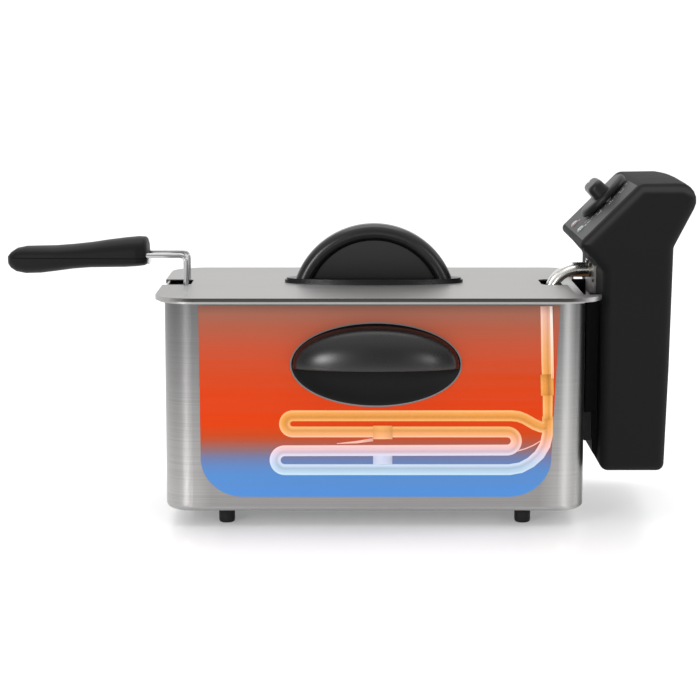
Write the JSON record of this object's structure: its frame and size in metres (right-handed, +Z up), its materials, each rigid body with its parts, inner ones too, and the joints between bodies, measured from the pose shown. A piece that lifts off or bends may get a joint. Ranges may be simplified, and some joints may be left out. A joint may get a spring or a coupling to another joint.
{
  "type": "deep fryer",
  "caption": "Countertop cold-zone deep fryer: steel casing, lift-out pot, control unit with element, basket with handle, loose lid.",
  "frame": {"origin": "centre of the casing footprint, on the surface the feet stand on", "axes": "+X to the control unit, +Y to the rear long side, +Z up"},
  "size_m": [0.4993, 0.232, 0.2446],
  "materials": {
    "casing_steel": "brushed",
    "lid_steel": "brushed",
    "pot_steel": "satin",
    "base_steel": "satin",
    "screw_steel": "satin",
    "foot_rubber": "matt",
    "black_plastic": "fine grained",
    "satin_plastic": "satin",
    "panel_film": "matt printed",
    "zone_film": "printed film, red to blue",
    "element_steel": "heat tinted",
    "chrome_wire": "bright",
    "brass": "plain",
    "copper": "plain",
    "warm_lens": "clear, faint red",
    "cool_lens": "clear, faint green",
    "neon_glass": "clear",
    "cream_plastic": "phenolic",
    "wire_insulation": "silicone",
    "white_print": "inlaid",
    "red_plastic": "gloss",
    "white_plastic": "plain"
  },
  "bodies": {
    "casing": {"outer_casing": "casing_steel", "bottom_plate": "base_steel", "base_plate_screws": "screw_steel", "rubber_feet": "foot_rubber", "foot_screws": "screw_steel", "foot_nuts": "screw_steel", "front_grip": "satin_plastic", "rear_grip": "satin_plastic", "grip_retainers": "screw_steel", "guide_bracket": "black_plastic", "bracket_screws": "screw_steel", "cool_zone_film": "zone_film"},
    "pot": {"oil_pot": "pot_steel"},
    "control_unit": {"control_housing": "black_plastic", "rear_cover": "black_plastic", "rear_cover_screws": "screw_steel", "control_panel": "panel_film", "power_lens": "warm_lens", "heat_lens": "cool_lens", "neon_lamps": "neon_glass", "neck_plate": "pot_steel", "neck_plate_screws": "screw_steel", "heating_element": "element_steel", "element_collars": "brass", "element_clip": "pot_steel", "thermostat_body": "cream_plastic", "thermostat_screws": "screw_steel", "thermostat_sensor": "copper", "cutout_sensor": "copper", "thermal_cutout": "black_plastic", "safety_switch": "black_plastic", "terminal_block": "white_plastic", "internal_leads": "wire_insulation", "cord_gland": "foot_rubber"},
    "knob": {"thermostat_knob": "satin_plastic", "knob_pointer": "white_print", "thermostat_spindle": "screw_steel"},
    "reset": {"reset_button": "red_plastic", "reset_spring": "screw_steel"},
    "interlock": {"interlock_plunger": "white_plastic", "plunger_spring": "screw_steel"},
    "basket": {"basket_mesh": "chrome_wire", "basket_frame": "chrome_wire", "handle_bracket": "chrome_wire"},
    "basket_handle": {"handle_wires": "chrome_wire", "grip_upper": "satin_plastic", "grip_lower": "satin_plastic", "grip_screws": "screw_steel", "grip_ferrule": "chrome_wire"},
    "lid": {"lid_panel": "lid_steel", "lid_handle": "satin_plastic", "lid_handle_screws": "screw_steel"}
  },
  "joints": [
    {"name": "pot_lift", "type": "slide", "parent": "casing", "child": "pot", "axis": [0, 0, 1], "range_m": [0, 0.2]},
    {"name": "control_unit_lift", "type": "slide", "parent": "pot", "child": "control_unit", "axis": [0, 0, 1], "range_m": [0, 0.18]},
    {"name": "knob_turn", "type": "hinge", "parent": "control_unit", "child": "knob", "pos_m": [0.1715, 0, 0.226], "axis": [-0.7071, 0, 0.7071], "range_deg": [-270, 0]},
    {"name": "reset_press", "type": "slide", "parent": "control_unit", "child": "reset", "axis": [-1, 0, 0], "range_m": [0, 0.0015], "stiffness_N_per_m": 800},
    {"name": "interlock_press", "type": "slide", "parent": "control_unit", "child": "interlock", "axis": [1, 0, 0], "range_m": [0, 0.0015], "stiffness_N_per_m": 500},
    {"name": "basket_lift", "type": "slide", "parent": "control_unit", "child": "basket", "axis": [0, 0, 1], "range_m": [0, 0.15]},
    {"name": "basket_handle_pull", "type": "slide", "parent": "basket", "child": "basket_handle", "axis": [0, 0, 1], "range_m": [0, 0.06]},
    {"name": "lid_lift", "type": "slide", "parent": "basket_handle", "child": "lid", "axis": [0, 0, 1], "range_m": [0, 0.16]}
  ]
}
